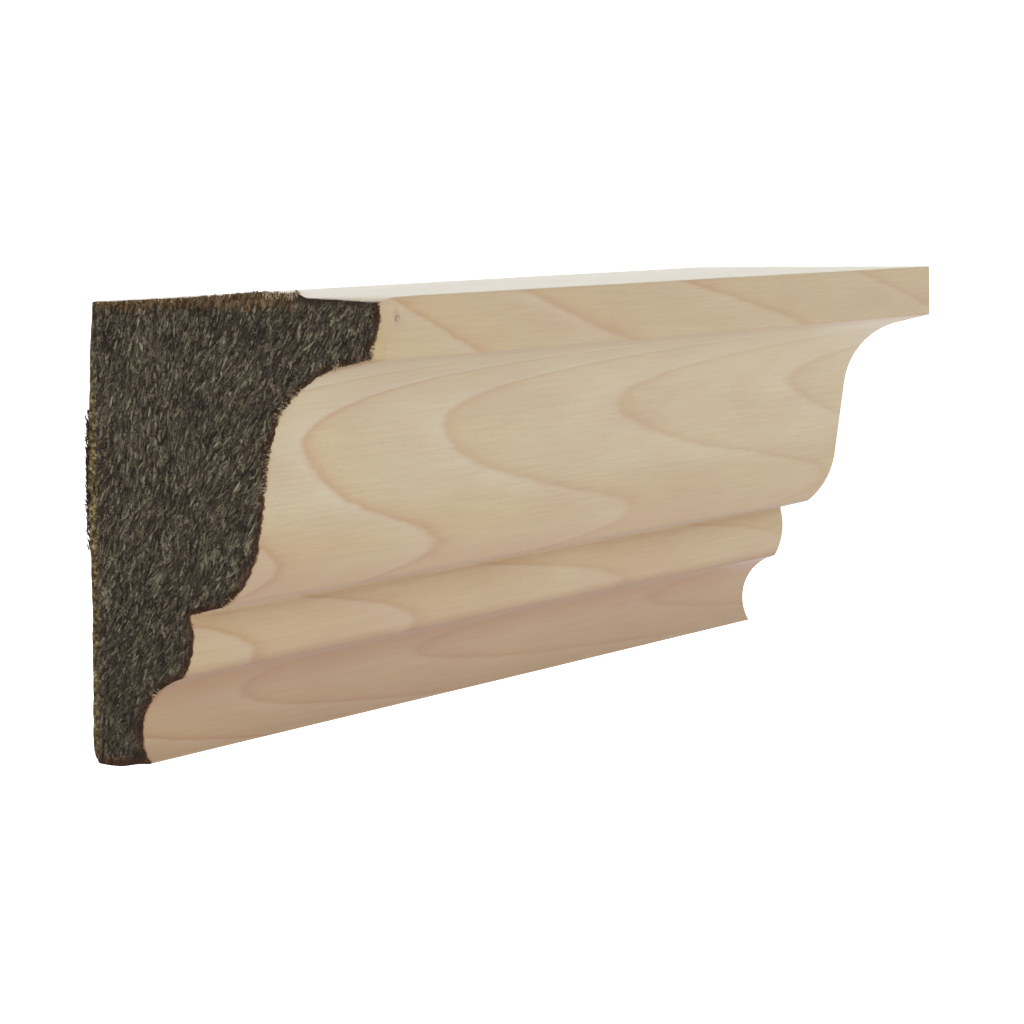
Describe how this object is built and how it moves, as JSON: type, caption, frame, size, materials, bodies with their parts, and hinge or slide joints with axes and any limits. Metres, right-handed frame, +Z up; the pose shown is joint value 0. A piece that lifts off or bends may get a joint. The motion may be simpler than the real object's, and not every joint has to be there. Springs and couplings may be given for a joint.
{
  "type": "crown moulding piece",
  "caption": "Short square-cut length of solid wood crown moulding with fascia, ogee, undercut lip, bead and scotia, flat back and flat top.",
  "frame": {"origin": "centre of the flat back, on the wall", "axes": "+X along the length, away from the stained end; +Y into the wall, out of the flat back; +Z up, towards the ceiling"},
  "size_m": [0.254, 0.038, 0.057],
  "materials": {
    "maple": "bare planed maple, left end stained dark over the sawn end grain"
  },
  "bodies": {
    "root": {"moulding": "maple"}
  },
  "joints": []
}
